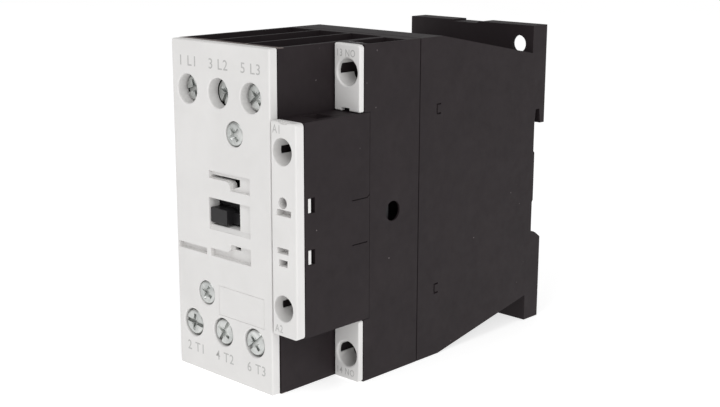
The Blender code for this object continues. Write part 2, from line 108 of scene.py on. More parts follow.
def circle(ca, cb, r, n=24, start=0.0):
    return [(ca + r * math.cos(start + 2 * math.pi * i / n), cb + r * math.sin(start + 2 * math.pi * i / n)) for i in range(n)]


def cylinder(axis, ca, cb, r, lo, hi, n=48):
    return prism(axis, circle(ca, cb, r, n, math.pi / n), lo, hi)


def turned(cx, cz, profile, n=48):
    v, f, rings = [], [], []
    for r, y in profile:
        if r == 0:
            rings.append([len(v)])
            v.append((cx, y, cz))
        else:
            rings.append(list(range(len(v), len(v) + n)))
            v += [(a, y, b) for a, b in circle(cx, cz, r, n, math.pi / n)]
    for a, b in zip(rings, rings[1:]):
        for i in range(n):
            j = (i + 1) % n
            if len(a) == 1:
                f.append((a[0], b[i], b[j]))
            elif len(b) == 1:
                f.append((a[i], b[0], a[j]))
            else:
                f.append((a[i], b[i], b[j], a[j]))
    return v, f


def bore(cx, cz, r, front, back, lip, n=56, steps=5):
    """A cutter for a bore whose rim is rounded by a quarter circle of radius lip."""
    profile = [(0, front - 1.5), (r + lip + 1.5 * lip, front - 1.5), (r + lip + 0.02, front - 0.02)]
    for k in range(steps + 1):
        t = math.pi / 2 * k / steps
        profile.append((r + lip - lip * math.sin(t), front + lip - lip * math.cos(t)))
    profile[1] = (r + lip + 0.02, front - 1.5)
    return turned(cx, cz, profile + [(r, back), (0, back)], n)


def helix(cx, cz, radius, wire, y0, y1, turns, per_turn=28, sides=10):
    total = int(turns * per_turn)
    v, f = [], []
    for i in range(total + 1):
        t = i / per_turn
        if t < 1:
            y = y0 + wire + t * wire * 1.08
        elif t > turns - 1:
            y = y1 - wire - (turns - t) * wire * 1.08
        else:
            lo, hi = y0 + wire + wire * 1.08, y1 - wire - wire * 1.08
            y = lo + (hi - lo) * (t - 1) / (turns - 2)
        a = 2 * math.pi * t
        for k in range(sides):
            b = 2 * math.pi * k / sides
            rr = radius + 0.5 * wire * math.cos(b)
            v.append((cx + rr * math.cos(a), y + 0.5 * wire * math.sin(b), cz + rr * math.sin(a)))
    for i in range(total):
        for k in range(sides):
            m = (k + 1) % sides
            f.append((i * sides + k, i * sides + m, (i + 1) * sides + m, (i + 1) * sides + k))
    f.append(tuple(range(sides))[::-1])
    f.append(tuple(total * sides + k for k in range(sides)))
    return v, f


def mirrored_z(shape):
    v, f = shape
    return [(x, y, -z) for x, y, z in v], [tuple(reversed(face)) for face in f]


def spun(shape, cx, cz, degrees):
    """A shape turned about the Y axis through (cx, cz)."""
    a = math.radians(degrees)
    c, s = math.cos(a), math.sin(a)
    return [(cx + (x - cx) * c - (z - cz) * s, y, cz + (x - cx) * s + (z - cz) * c) for x, y, z in shape[0]], shape[1]


def rounded(points, radii, steps=8):
    out, n = [], len(points)
    for i in range(n):
        p, a, b = Vector(points[i]), Vector(points[i - 1]), Vector(points[(i + 1) % n])
        r = radii[i]
        if r == 0:
            out.append(tuple(p))
            continue
        u, w = (a - p).normalized(), (b - p).normalized()
        half = u.angle(w) / 2
        centre = p + (u + w).normalized() * r / math.sin(half)
        s, e = p + u * r / math.tan(half) - centre, p + w * r / math.tan(half) - centre
        turn = s.angle_signed(e)
        for k in range(steps + 1):
            ang = -turn * k / steps
            out.append(tuple(centre + Vector((s.x * math.cos(ang) - s.y * math.sin(ang), s.x * math.sin(ang) + s.y * math.cos(ang)))))
    return out


# ---------------------------------------------------------------- materials
def nodes_of(name):
    mat = bpy.data.materials.new(name)
    mat.use_nodes = True
    tree = mat.node_tree
    return mat, tree, tree.nodes["Principled BSDF"]


def add(tree, kind, at=(0, 0), **values):
    node = tree.nodes.new(kind)
    node.location = at
    for key, value in values.items():
        setattr(node, key, value)
    return node


def noise(tree, coord, scale, detail=3.0, rough=0.55, distortion=0.0):
    node = add(tree, "ShaderNodeTexNoise")
    node.inputs["Scale"].default_value = scale
    node.inputs["Detail"].default_value = detail
    node.inputs["Roughness"].default_value = rough
    node.inputs["Distortion"].default_value = distortion
    tree.links.new(coord, node.inputs["Vector"])
    return node.outputs["Fac"]


def ramp(tree, fac, stops):
    node = add(tree, "ShaderNodeValToRGB")
    elements = node.color_ramp.elements
    while len(elements) < len(stops):
        elements.new(0.5)
    for e, (pos, value) in zip(elements, stops):
        e.position = pos
        e.color = (*value, 1.0) if hasattr(value, "__len__") else (value, value, value, 1.0)
    tree.links.new(fac, node.inputs["Fac"])
    return node.outputs["Color"]


def math_node(tree, op, a, b):
    node = add(tree, "ShaderNodeMath", operation=op)
    for i, x in enumerate((a, b)):
        if hasattr(x, "default_value") and not isinstance(x, float):
            tree.links.new(x, node.inputs[i])
        else:
            node.inputs[i].default_value = x
    return node.outputs[0]


def mix_colour(tree, fac, a, b):
    node = add(tree, "ShaderNodeMix", data_type="RGBA")
    for socket, x in ((node.inputs[0], fac), (node.inputs[6], a), (node.inputs[7], b)):
        if hasattr(x, "is_linked"):
            tree.links.new(x, socket)
        elif socket == node.inputs[0]:
            socket.default_value = x
        else:
            socket.default_value = (*x, 1.0)
    return node.outputs[2]


def bump(tree, bsdf, pairs):
    """Height fields as (height socket, strength, distance in metres), laid one over the other."""
    last = None
    for height, strength, distance in pairs:
        node = add(tree, "ShaderNodeBump")
        node.inputs["Strength"].default_value = strength
        node.inputs["Distance"].default_value = distance
        tree.links.new(height, node.inputs["Height"])
        if last is not None:
            tree.links.new(last, node.inputs["Normal"])
        last = node.outputs["Normal"]
    tree.links.new(last, bsdf.inputs["Normal"])


def moulded_plastic(name, dark, light, rough, speck, speck_share, ior_level=0.4, grain=0.00002):
    """Matt moulded plastic: faint cloudiness, fine spark-eroded grain, and sparse dust specks."""
    mat, tree, bsdf = nodes_of(name)
    coord = add(tree, "ShaderNodeTexCoord").outputs["Object"]
    cloud = noise(tree, coord, 90.0, 4.0, 0.6, 0.4)
    base = ramp(tree, cloud, [(0.30, dark), (0.70, light)])
    cells = add(tree, "ShaderNodeTexVoronoi")
    cells.inputs["Scale"].default_value = 230.0
    tree.links.new(coord, cells.inputs["Vector"])
    near = math_node(tree, "LESS_THAN", cells.outputs["Distance"], 0.050)
    split = add(tree, "ShaderNodeSeparateColor")
    tree.links.new(cells.outputs["Color"], split.inputs["Color"])
    some = math_node(tree, "LESS_THAN", split.outputs[0], speck_share)
    shade = math_node(tree, "MULTIPLY", near, some)
    shade = math_node(tree, "MULTIPLY", shade, split.outputs[1])
    tree.links.new(mix_colour(tree, shade, base, speck), bsdf.inputs["Base Color"])
    patch = noise(tree, coord, 420.0, 3.0)
    tree.links.new(ramp(tree, patch, [(0.25, rough - 0.05), (0.75, rough + 0.06)]), bsdf.inputs["Roughness"])
    bsdf.inputs["Specular IOR Level"].default_value = ior_level
    bump(tree, bsdf, [(noise(tree, coord, 5200.0, 2.0), 0.35, grain), (noise(tree, coord, 700.0, 3.0), 0.12, grain * 2)])
    return mat


def plated_metal(name, dark, light, rough, scale=900.0, streak=(1, 1, 1), metallic=1.0, depth=0.00001):
    """Bare or plated metal: uneven tint, patchy roughness, and fine marks along one direction."""
    mat, tree, bsdf = nodes_of(name)
    coord = add(tree, "ShaderNodeTexCoord").outputs["Object"]
    mapping = add(tree, "ShaderNodeMapping")
    mapping.inputs["Scale"].default_value = streak
    tree.links.new(coord, mapping.inputs["Vector"])
    tint = noise(tree, coord, scale * 0.35, 4.0, 0.6, 0.6)
    tree.links.new(ramp(tree, tint, [(0.30, dark), (0.68, light)]), bsdf.inputs["Base Color"])
    marks = noise(tree, mapping.outputs["Vector"], scale * 3, 4.0, 0.65)
    tree.links.new(ramp(tree, marks, [(0.25, max(0.05, rough - 0.12)), (0.75, rough + 0.14)]), bsdf.inputs["Roughness"])
    bsdf.inputs["Metallic"].default_value = metallic
    bump(tree, bsdf, [(marks, 0.25, depth), (noise(tree, coord, scale * 0.8, 3.0), 0.15, depth * 2)])
    return mat


def striped(name, dark, light, rough, metallic, pitch, axis, depth):
    """Layers of one pitch along an axis, such as laminations or wound wire."""
    mat, tree, bsdf = nodes_of(name)
    coord = add(tree, "ShaderNodeTexCoord").outputs["Object"]
    split = add(tree, "ShaderNodeSeparateXYZ")
    tree.links.new(coord, split.inputs["Vector"])
    wave = math_node(tree, "SINE", math_node(tree, "MULTIPLY", split.outputs["XYZ".index(axis)], 2 * math.pi / pitch), 0.0)
    height = math_node(tree, "MULTIPLY_ADD", wave, 0.5)
    height.node.inputs[2].default_value = 0.5
    tone = noise(tree, coord, 500.0, 4.0)
    blend = math_node(tree, "MULTIPLY", height, 0.6)
    fac = math_node(tree, "ADD", blend, math_node(tree, "MULTIPLY", tone, 0.4))
    tree.links.new(ramp(tree, fac, [(0.15, dark), (0.75, light)]), bsdf.inputs["Base Color"])
    tree.links.new(ramp(tree, tone, [(0.2, rough - 0.08), (0.8, rough + 0.1)]), bsdf.inputs["Roughness"])
    bsdf.inputs["Metallic"].default_value = metallic
    bump(tree, bsdf, [(height, 0.6, depth), (tone, 0.1, depth)])
    return mat


def paint_rim_highlight(mat):
    """Painted highlight: paler, brownish colour along the top and bottom ends of the housing's front rim, broken up by
    noise.
    """
    tree = mat.node_tree
    bsdf = tree.nodes["Principled BSDF"]
    coord = add(tree, "ShaderNodeTexCoord").outputs["Object"]
    split = add(tree, "ShaderNodeSeparateXYZ")
    tree.links.new(coord, split.inputs["Vector"])
    height = math_node(tree, "ABSOLUTE", split.outputs["Z"], 0.0)
    mask = math_node(tree, "GREATER_THAN", height, 0.04262)
    front = math_node(tree, "LESS_THAN", split.outputs["Y"], -0.0890)
    mask = math_node(tree, "MULTIPLY", mask, front)
    highlight_breakup = ramp(tree, noise(tree, coord, 900.0, 4.0, 0.7, 0.5), [(0.30, 0.25), (0.62, 1.0)])
    mask = math_node(tree, "MULTIPLY", mask, highlight_breakup)
    old = bsdf.inputs["Base Color"].links[0].from_socket
    # mixes the paler painted highlight colour into the base colour
    tree.links.new(mix_colour(tree, mask, old, (0.20, 0.165, 0.155)), bsdf.inputs["Base Color"])


BLACK = moulded_plastic("black_thermoplastic", (0.0155, 0.0110, 0.0126), (0.0200, 0.0146, 0.0163), 0.60, (0.13, 0.11, 0.115), 0.16, 0.20)
# this black plastic carries a painted highlight along the top and bottom ends of its front rim
HOUSING = moulded_plastic("black_thermoplastic_rim_highlight", (0.0155, 0.0110, 0.0126), (0.0200, 0.0146, 0.0163), 0.60, (0.13, 0.11, 0.115), 0.16, 0.20)
paint_rim_highlight(HOUSING)
COVER = moulded_plastic("light_thermoplastic", (0.705, 0.695, 0.685), (0.745, 0.735, 0.725), 0.50, (0.52, 0.51, 0.48), 0.05, 0.30)
CARRIER = moulded_plastic("carrier_thermoplastic", (0.0090, 0.0085, 0.0095), (0.0150, 0.0140, 0.0155), 0.42, (0.05, 0.05, 0.05), 0.05, 0.30)
BOBBIN = moulded_plastic("bobbin_nylon", (0.62, 0.60, 0.52), (0.70, 0.68, 0.60), 0.45, (0.45, 0.42, 0.35), 0.05)
RUBBER = moulded_plastic("buffer_rubber", (0.010, 0.010, 0.010), (0.020, 0.020, 0.020), 0.80, (0.05, 0.05, 0.05), 0.05, 0.3)
ZINC = plated_metal("zinc_plate", (0.42, 0.435, 0.425), (0.66, 0.67, 0.655), 0.36)
STEEL = plated_metal("spring_steel", (0.38, 0.38, 0.39), (0.56, 0.56, 0.56), 0.26, 1200.0)
COPPER = plated_metal("contact_copper", (0.62, 0.30, 0.18), (0.80, 0.44, 0.29), 0.30, 800.0, (1, 6, 1))
BRASS = plated_metal("lead_brass", (0.60, 0.43, 0.18), (0.76, 0.58, 0.28), 0.30, 800.0, (6, 1, 1))
CORE = striped("laminated_steel", (0.10, 0.10, 0.105), (0.32, 0.32, 0.33), 0.42, 1.0, 0.0005, "X", 0.00006)
WIRE = striped("enamelled_wire", (0.20, 0.055, 0.022), (0.46, 0.16, 0.07), 0.28, 0.5, 0.00035, "Y", 0.00008)
INK, _tree, _bsdf = nodes_of("printed_ink")
_coord = add(_tree, "ShaderNodeTexCoord").outputs["Object"]
_tree.links.new(ramp(_tree, noise(_tree, _coord, 2500.0, 3.0), [(0.3, (0.40, 0.395, 0.39)), (0.7, (0.50, 0.495, 0.485))]), _bsdf.inputs["Base Color"])
_tree.links.new(ramp(_tree, noise(_tree, _coord, 1500.0), [(0.3, 0.45), (0.7, 0.60)]), _bsdf.inputs["Roughness"])


# ------------------------------------------------------------------- pieces
def mesh_object(name, shape):
    verts, faces = shape
    mesh = bpy.data.meshes.new(name)
    mesh.from_pydata([Vector(p) * MM for p in verts], [], faces)
    bm = bmesh.new()
    bm.from_mesh(mesh)
    bmesh.ops.recalc_face_normals(bm, faces=bm.faces)
    bm.to_mesh(mesh)
    bm.free()
    obj = bpy.data.objects.new(name, mesh)
    SCENE.collection.objects.link(obj)
    return obj


def edge_bevel(obj, width, segments, test):
    """Rounds the edges of a plain shape that test(a, b) picks, given its end points in millimetres."""
    bm = bmesh.new()
    bm.from_mesh(obj.data)
    edges = [e for e in bm.edges if len(e.link_faces) == 2 and e.calc_face_angle(0) > 0.5 and test(e.verts[0].co / MM, e.verts[1].co / MM)]
    if edges:
        bmesh.ops.bevel(bm, geom=edges, offset=width * MM, segments=segments, profile=0.5, affect="EDGES", clamp_overlap=True)
    bm.to_mesh(obj.data)
    bm.free()


def finish_mesh(obj, bevel, segments=2, angle=32):
    """Joins doubled points, softens the edges left by the cuts, and shades smoothly."""
    bm = bmesh.new()
    bm.from_mesh(obj.data)
    bmesh.ops.remove_doubles(bm, verts=bm.verts, dist=2e-7)
    bmesh.ops.dissolve_degenerate(bm, edges=bm.edges, dist=1e-7)
    bmesh.ops.dissolve_limit(bm, angle_limit=math.radians(0.4), verts=bm.verts, edges=bm.edges)
    bm.to_mesh(obj.data)
    bm.free()
    if bevel:
        mod = obj.modifiers.new("edges", "BEVEL")
        mod.width = bevel * MM
        mod.segments = segments
        mod.limit_method = "ANGLE"
        mod.angle_limit = math.radians(angle)
        mod.use_clamp_overlap = True
        mod.harden_normals = False
        mod.miter_outer = "MITER_ARC"
    obj.data.shade_smooth()
    obj.data.set_sharp_from_angle(angle=math.radians(40))
    if bevel:
        weighted = obj.modifiers.new("normals", "WEIGHTED_NORMAL")
        weighted.keep_sharp = False
        weighted.weight = 60


def piece(name, mat, body, node, base, joined=(), cut=(), bevel=0.12, segments=2, soften=None, angle=32):
    obj = mesh_object(name, base)
    if soften:
        for width, count, test in soften:
            edge_bevel(obj, width, count, test)
    tools = []
    for kind, shapes in (("UNION", joined), ("DIFFERENCE", cut)):
        for i, shape in enumerate(shapes):
            tool = mesh_object(f"{name}_{kind}_{i}", shape)
            tools.append(tool)
            mod = obj.modifiers.new(f"{kind}_{i}", "BOOLEAN")
            mod.operation = kind
            mod.solver = "EXACT"
            mod.object = tool
    bpy.context.view_layer.update()
    mesh = bpy.data.meshes.new_from_object(obj.evaluated_get(bpy.context.evaluated_depsgraph_get()))
    obj.modifiers.clear()
    obj.data = mesh
    mesh.name = name
    for tool in tools:
        bpy.data.objects.remove(tool, do_unlink=True)
    mesh.materials.clear()
    mesh.materials.append(mat)
    finish_mesh(obj, bevel, segments, angle)
    if node and node in frame["nodes"]:
        low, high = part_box(node)
        size = max(h - l for l, h in zip(low, high))
        span = [max(v.co[k] for v in mesh.vertices) - min(v.co[k] for v in mesh.vertices) for k in range(3)]
        if max(span) < 0.9 * size:
            raise RuntimeError(f"{name} is smaller than its CAD node: a cut has emptied it")
    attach(obj, body)
    if node:
        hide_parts(*([node] if isinstance(node, str) else node))
    return obj


def from_cad(node, mat, bevel, segments=2, angle=35):
    """A finer copy of a CAD node: its flat faces are joined again and its edges are softened."""
    source = frame["nodes"][node]
    mesh = source.data.copy()
    obj = bpy.data.objects.new(node + "_fine", mesh)
    SCENE.collection.objects.link(obj)
    mesh.materials.clear()
    mesh.materials.append(mat)
    bm = bmesh.new()
    bm.from_mesh(mesh)
    bmesh.ops.remove_doubles(bm, verts=bm.verts, dist=2e-6)
    bmesh.ops.dissolve_limit(bm, angle_limit=math.radians(0.5), verts=bm.verts, edges=bm.edges)
    bm.to_mesh(mesh)
    bm.free()
    if mesh.attributes.get("custom_normal"):
        mesh.attributes.remove(mesh.attributes["custom_normal"])
    finish_mesh(obj, bevel, segments, angle)
    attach(obj, source["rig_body"])
    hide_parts(node)
    return obj


# -------------------------------------------------------------- front cover
UPPER_SLOT = [(-9.1, 10.95), (-9.1, 9.0), (-2.6, 9.0), (-1.9, 8.8), (-1.42, 8.3), (-1.22, 7.6), (-1.2, 6.8), (6.1, 6.8), (6.1, 10.95)]
UPPER_HOLE = [(-9.0, 9.85), (-9.0, 9.1), (-2.6, 9.1), (-1.85, 8.9), (-1.3, 8.3), (-1.1, 7.2), (1.5, 8.1), (1.5, 9.85)]
LOWER_SLOT = [(-9.1, -11.0), (6.1, -11.0), (6.1, -6.8), (-1.25, -6.8), (-1.42, -7.9), (-1.9, -8.6), (-2.8, -9.0), (-9.1, -9.0)]
WINDOW = (-9.3, 1.4, -4.06, 4.06)


def line(x0, x1, z0, z1, depth, front=COVER_Y):
    return box(x0, x1, front - 1, front + depth, z0, z1)


cuts = [box(WINDOW[0], WINDOW[1], -95, -88, -2.9, WINDOW[3])]
# the window's sill slopes inwards, over its whole width
cuts.append(prism("X", [(-95, -4.06), (-93.5, -4.06), (-92.7, -3.0), (-91.0, -2.5), (-88, -2.5), (-88, 0), (-95, 0)], WINDOW[0], WINDOW[1]))
cuts.append(prism("X", [(-95, -4.06), (-93.5, -4.06), (-92.72, -3.0), (-92.72, 4.06), (-95, 4.06)], 1.2, 6.05))
cuts.append(prism("Y", UPPER_SLOT, -95, -92.65))
cuts.append(prism("Y", UPPER_HOLE, -95, -88))
cuts.append(prism("Y", LOWER_SLOT, -95, -92.25))
cuts.append(box(-1.15, 0.96, -95, -88, -8.25, -7.45))
cuts.append(box(-21.7, -10.6, -95, -92.35, -11.05, -9.4))
for px in POLE_X:
    for s in (-1, 1):
        cuts.append(bore(px, s * POLE_Z, MAIN_BORE_R, COVER_Y, -86, 0.35))
for x, z in COVER_SCREWS:
    cuts.append(turned(x, z, [(0, -95), (3.40, -95), (3.40, -93.60), (3.30, -93.55), (3.20, -93.42), (3.15, -93.2), (3.15, -91.75), (1.95, -91.75), (1.95, -88), (0, -88)]))
# outline of the label field, a shallow groove
x0, x1, z0, z1, w = -6.3, 10.7, -26.1, -18.35, 0.16
cuts += [line(x0, x1, z0, z0 + w, 0.10), line(x0, x1, z1 - w, z1, 0.10), line(x0, x0 + w, z0 + 0.05, z1 - 0.05, 0.10), line(x1 - w, x1, z0 + 0.05, z1 - 0.05, 0.10)]
# collars behind the slots and the window
walls = [box(-9.9, -8.3, -91.5, -89.9, 8.3, 10.6), box(-9.9, 2.1, -91.5, -90.2, -4.9, 4.9)]
for px in POLE_X:
    for s in (-1, 1):
        walls.append(cylinder("Y", px, s * POLE_Z, MAIN_BORE_R + 0.8, -91.5, -90.35, 56))
piece("cover_front", COVER, "housing", "front_cover",
      prism("Y", rounded([(-HALF_W, -HALF_H), (BODY_X - 0.3, -HALF_H), (BODY_X, HALF_H), (-HALF_W, HALF_H)], [0.6, 0.4, 0.5, 0.6]), COVER_Y, COVER_BACK),
      walls, cuts, 0.10, 2,
      soften=[(0.38, 3, lambda a, b: abs(a.y - COVER_Y) < 0.01 and abs(b.y - COVER_Y) < 0.01)])

# ------------------------------------------------------ coil terminal cover
cuts, walls = [], []
for s in (-1, 1):
    walls.append(cylinder("Y", COIL_X, s * COIL_Z, 3.62, -91.6, -86.5, 48))
    walls.append(zbox(s, 20.3, 21.1, -91.6, -88.95, 4.6, 8.0))
    walls.append(zbox(s, 20.9, 22.42, -89.85, -88.95, 4.6, 8.0))
    cuts.append(bore(COIL_X, s * COIL_Z, COIL_BORE_R, STRIP_Y, -86, 0.34))
    cuts.append(box(13.0, 15.4, -90.9, -86, s * COIL_Z - 1.15, s * COIL_Z + 0.75))
cuts.append(cylinder("Y", 17.9, 6.95, 1.42, -95, -90.0, 36))
cuts += [box(15.8, 20.7, -95, -91.5, 3.75, 5.35), box(15.85, 19.75, -95, -91.5, -5.5, -4.05), box(16.4, 19.35, -95, -90.4, -8.6, -6.95)]
# shallow dip in the top edge
cuts.append(prism("Y", [(16.2, 27.4), (16.2, 26.23), (16.9, 25.85), (18.2, 25.68), (19.4, 25.80), (20.1, 26.23), (20.1, 27.4)], -95, -92.6))
piece("cover_coil_terminals", COVER, "housing", "coil_terminal_cover",
      prism("Y", rounded([(13.95, -SIDE_Z), (HALF_W, -SIDE_Z), (HALF_W, SIDE_Z), (13.95, SIDE_Z)], [0.45, 0.9, 0.9, 0.45]), STRIP_Y, -91.25),
      walls, cuts, 0.10, 2,
      soften=[(0.38, 3, lambda a, b: abs(a.y - STRIP_Y) < 0.01 and abs(b.y - STRIP_Y) < 0.01)])

# --------------------------------------------------------- auxiliary covers
for name, node, s in (("cover_aux_upper", "aux_terminal_cover_upper", 1), ("cover_aux_lower", "aux_terminal_cover_lower", -1)):
    outline = [(13.95, s * 26.4), (HALF_W, s * 26.4), (HALF_W, s * 42.15), (21.95, s * 42.7), (13.95, s * HALF_H)]
    cuts = [bore(AUX_X, s * AUX_Z, AUX_BORE_R, AUX_Y, -65.0, 0.52),
            box(13.0, 16.4, -71.3, -65.0, s * AUX_Z - 0.65, s * AUX_Z + 1.9),
            zbox(s, 16.2, 19.1, -74, -70, 26.0, 27.25)]
    lip = [prism("Z", [(14.3, -71.4), (20.9, -71.4), (20.9, -70.2), (19.4, -68.0), (14.3, -68.0)], 41.9, 42.74)] if s > 0 else []
    piece(name, COVER, "housing", node, prism("Y", rounded(outline, [0.42, 0.5, 0.42, 0.42, 0.42]), AUX_Y, -71.1),
          [cylinder("Y", AUX_X, s * AUX_Z, 3.58, -71.5, -66.6, 48)] + lip, cuts, 0.10, 2,
          soften=[(0.34, 3, lambda a, b: abs(a.y - AUX_Y) < 0.01 and abs(b.y - AUX_Y) < 0.01)])

# ---------------------------------------------------------- contact housing
cuts = [box(BODY_X + 0.02, 24, -72, -68.72, -SIDE_Z - 0.12, SIDE_Z + 0.12)]
for x0, x1 in CHANNEL_X:
    cuts.append(box(x0, x1, -92, -72, -20.6, 20.6))
    cuts.append(box(x0, x1, -70, -53.5, -36.2, 36.2))
    for s in (-1, 1):
        cuts.append(zbox(s, x0, x1, -92, -81.7, 20.3, 37.6))
        cuts.append(zbox(s, x0, x1, -89.4, -53.5, 37.3, 45))
cuts.append(box(-19.9, 11.2, -92, -53.2, -7.4, 7.4))
cuts.append(box(-11.2, 11.2, -54, -50, -7.4, 7.4))
for px in POLE_X:
    for s in (-1, 1):
        cuts.append(cylinder("Y", px, s * POLE_Z, 2.8, -82, -73.2, 32))
cuts.append(box(14.6, 21.9, -67.5, -54.9, -17.2, 17.2))
cuts.append(box(14.6, 21.9, -68, -54.0, -6, 6))
cuts.append(box(11.9, 15, -67.4, -54.0, -3.3, 3.3))
cuts.append(cylinder("X", -60.2, 0.1, 2.6, 21, 24, 40))
for s in (-1, 1):
    cuts.append(zbox(s, 14.6, 21.9, -69.9, -59.9, 16.8, 41.4))
    cuts.append(zbox(s, 14.6, 21.9, -72, -69.5, 27.6, 41.4))
    cuts.append(zbox(s, 14.6, 21.9, -68.6, -55.0, 40.3, 45))
    cuts.append(cylinder("Y", AUX_X, s * AUX_Z, 2.1, -60.5, -53.4, 28))
    cuts.append(zbox(s, 20.0, 21.2, -70, -50, 11.7, 15.6))
for x, z in COVER_SCREWS:
    cuts.append(cylinder("Y", x, z, 1.75, -92, -62, 24))
bosses = [box(BODY_X - 0.6, HALF_W, -70.8, SEAM_HOUSING, -HALF_H, HALF_H)]
piece("housing_contacts", HOUSING, "housing", "contact_housing",
      box(-HALF_W, BODY_X, BODY_Y, SEAM_HOUSING, -HALF_H, HALF_H), bosses, cuts, 0.14, 2)

# ------------------------------------------------------ coil terminal block
cuts = [box(12, 21.5, -92, -78.0, -24.8, 24.8), box(12, 21.5, -79, -70.2, -9.6, 9.6)]
for s in (-1, 1):
    cuts.append(cylinder("Y", COIL_X, s * COIL_Z, 2.1, -79, -72, 28))
    cuts.append(zbox(s, 21, 24, -89.95, -87.7, 4.45, 8.16))
    cuts.append(zbox(s, 15.0, 20.4, -84.7, -79.5, 24, 28))
    cuts.append(zbox(s, 20.0, 21.2, -80, -68, 11.7, 16.9))
# cuts that free the latch tongue on the side
cuts.append(box(22.05, 24, -75.0, -69.5, 5.02, 5.24))
cuts.append(prism("X", [(-69.62, 5.05), (-68.6, 5.75), (-68.6, 6.05), (-69.75, 5.24)], 22.05, 24))
cuts.append(box(22.05, 24, -74.9, -69.5, -6.28, -6.02))
piece("block_coil_terminals", BLACK, "housing", "coil_terminal_block",
      box(BODY_X + 0.3, HALF_W, -90.95, -68.83, -SIDE_Z, SIDE_Z), (), cuts, 0.09, 2)

# -------------------------------------------------------------- base housing
base_side = [
    (SEAM_BASE, HALF_H), (-41.45, HALF_H), (-2.4, 35.25), (-2.4, HALF_H), (REAR_Y, HALF_H),
    (REAR_Y, 15.1), (2.1, 15.1), (1.6, 19.2), (-0.1, 19.2), (-0.5, 15.3), (-0.5, 7.2),
    (0.0, 6.7), (0.0, -7.1), (-0.4, -7.7), (-0.4, -16.4), (0.4, -16.5), (1.2, -16.8), (2.0, -17.25), (REAR_Y, -18.7),
    (REAR_Y, -HALF_H), (-2.4, -HALF_H), (-2.4, -35.25), (-41.45, -HALF_H), (SEAM_BASE, -HALF_H),
]
cavity_side = [(-52, 41.2), (-41.3, 41.2), (-3.6, 33.6), (-3.6, -33.6), (-41.3, -41.2), (-52, -41.2)]
cuts = [prism("X", cavity_side, -21.2, 21.2)]
for sx in (-1, 1):
    for sz in (-1, 1):
        if sx == sz:
            cuts.append(cylinder("Y", sx * 17.5, sz * 37.5, 2.4, -4, 6, 48))
        x0, x1 = sorted((sx * 10.4, sx * 19.9))
        w0, w1 = sorted((sz * 34.7, sz * 40.5))
        cuts.append(box(x0, x1, -1.1, 6, w0, w1))
        a, b = (22.05, 24) if sx > 0 else (-24, -22.05)
        z0, z1 = (22.75, 25.6) if sz > 0 else (-25.6, -22.75)
        cuts.append(box(a, b, -43.65, -43.25, z0, z1))
        cuts.append(box(a, b, -43.4, -41.9, z1 - 0.4, z1))
        cuts.append(box(a, b, -43.4, -41.9, z0, z0 + 0.4))
cuts.append(prism("Y", [(-6.6, 44), (-6.6, 42.3), (2.2, 42.3), (5.8, 44)], -3, 5))
cuts.append(box(-7, 7, 1.2, 5, -37.0, -15))
piece("housing_base", BLACK, "housing", "base_housing", prism("X", base_side, -HALF_W, HALF_W), (), cuts, 0.14, 2)


# -------------------------------------------------------------------- screws
def drive_recess(x, z, top, reach, width, depth, turn, slot_width=0.0, slot_reach=0.0, slot_depth=0.0):
    """A cross recess with tapering wings and four small marks between them, and a slot across the head."""
    shapes = []
    for k in range(2):
        h = width / 2
        outline_top = [(-reach, top - 0.5), (reach, top - 0.5), (reach, top + 0.1), (reach * 0.55, top + depth), (-reach * 0.55, top + depth), (-reach, top + 0.1)]
        v = [(x + a, y, z - h) for a, y in outline_top] + [(x + a, y, z + h) for a, y in outline_top]
        n = len(outline_top)
        f = [tuple(range(n))[::-1], tuple(range(n, 2 * n))] + [(i, (i + 1) % n, n + (i + 1) % n, n + i) for i in range(n)]
        shapes.append(spun((v, f), x, z, turn + 90 * k))
    shapes.append(spun(box(x - reach * 0.62, x + reach * 0.62, top - 0.5, top + 0.22, z - 0.09, z + 0.09), x, z, turn + 45))
    shapes.append(spun(box(x - reach * 0.62, x + reach * 0.62, top - 0.5, top + 0.22, z - 0.09, z + 0.09), x, z, turn + 135))
    if slot_width:
        shapes.append(spun(box(x - slot_reach, x + slot_reach, top - 0.5, top + slot_depth, z - slot_width / 2, z + slot_width / 2), x, z, turn))
    return shapes


def threaded(r, pitch, y0, y1):
    """The profile of a threaded shank: crests at r, roots 0.55 pitch lower."""
    out, y = [], y0
    while y + pitch < y1:
        out += [(r - 0.5 * pitch, y), (r, y + pitch * 0.35), (r, y + pitch * 0.5), (r - 0.5 * pitch, y + pitch * 0.85)]
        y += pitch
    return out


def terminal_screw(label, x, z, head_r, head_h, shaft_r, shaft_l, top, pitch, turn, slot):
    under = top + head_h
    profile = [(0, top), (head_r - 0.75, top), (head_r - 0.30, top + 0.07), (head_r - 0.06, top + 0.30), (head_r, top + 0.62), (head_r, under - 0.15), (head_r - 0.15, under), (shaft_r, under)]
    profile += threaded(shaft_r, pitch, under + 0.5, under + shaft_l - 0.8)
    profile += [(shaft_r - 0.4, under + shaft_l - 0.5), (shaft_r - 0.8, under + shaft_l), (0, under + shaft_l)]
    cut = drive_recess(x, z, top, head_r * 0.68, head_r * 0.27, 0.95 if head_r > 3 else 0.9, turn, *((head_r * 0.30, head_r + 1, head_r * 0.30) if slot else (0, 0, 0)))
    obj = piece(f"screw_{label}_fine", ZINC, f"screw_{label}", f"screw_{label}", turned(x, z, profile, 44), (), cut, 0.05, 2)
    return obj


